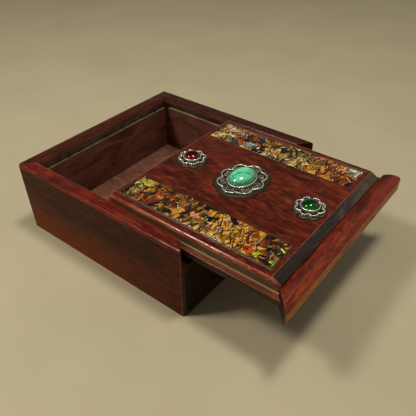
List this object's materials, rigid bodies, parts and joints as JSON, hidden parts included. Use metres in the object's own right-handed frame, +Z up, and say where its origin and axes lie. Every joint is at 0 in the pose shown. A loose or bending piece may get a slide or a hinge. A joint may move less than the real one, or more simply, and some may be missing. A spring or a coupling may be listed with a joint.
{
  "type": "sliding lid game box",
  "caption": "Near-square hardwood box for playing cards or small games, with a grooved sliding lid that carries two mosaic inlays and stone settings.",
  "frame": {"origin": "middle of the box's underside, on the surface that it stands on", "axes": "+Z up, +Y to the closed back, the lid draws out towards -Y, +X to the right"},
  "size_m": [0.14, 0.198, 0.0587],
  "materials": {
    "rosewood_gloss": "red-brown hardwood under a gloss lacquer",
    "plain_hardwood": "pale red-brown hardwood, thin matt finish",
    "shell_mosaic": "shell and amber-coloured flakes in clear gloss resin",
    "aged_silver": "aged silver-coloured metal, bright on raised wire and dark in the recesses",
    "red_glass": "polished deep red cabochon",
    "turquoise_stone": "polished veined turquoise-coloured stone",
    "green_glass": "polished deep green cabochon"
  },
  "bodies": {
    "box": {"left_wall": "rosewood_gloss", "front_wall": "rosewood_gloss", "right_wall": "rosewood_gloss", "back_wall": "rosewood_gloss", "bottom_board": "plain_hardwood"},
    "lid": {"lid_panel": "rosewood_gloss", "pull_rail": "rosewood_gloss", "left_mosaic_inlay": "shell_mosaic", "right_mosaic_inlay": "shell_mosaic", "red_filigree_plate": "aged_silver", "red_wire_rim": "aged_silver", "red_bezel_cup": "aged_silver", "red_cabochon": "red_glass", "turquoise_filigree_plate": "aged_silver", "turquoise_wire_rim": "aged_silver", "turquoise_bezel_cup": "aged_silver", "turquoise_cabochon": "turquoise_stone", "green_filigree_plate": "aged_silver", "green_wire_rim": "aged_silver", "green_bezel_cup": "aged_silver", "green_cabochon": "green_glass"}
  },
  "joints": [
    {"name": "lid_slide", "type": "slide", "parent": "box", "child": "lid", "axis": [0, -1, 0], "range_m": [-0.061, 0.074]}
  ]
}
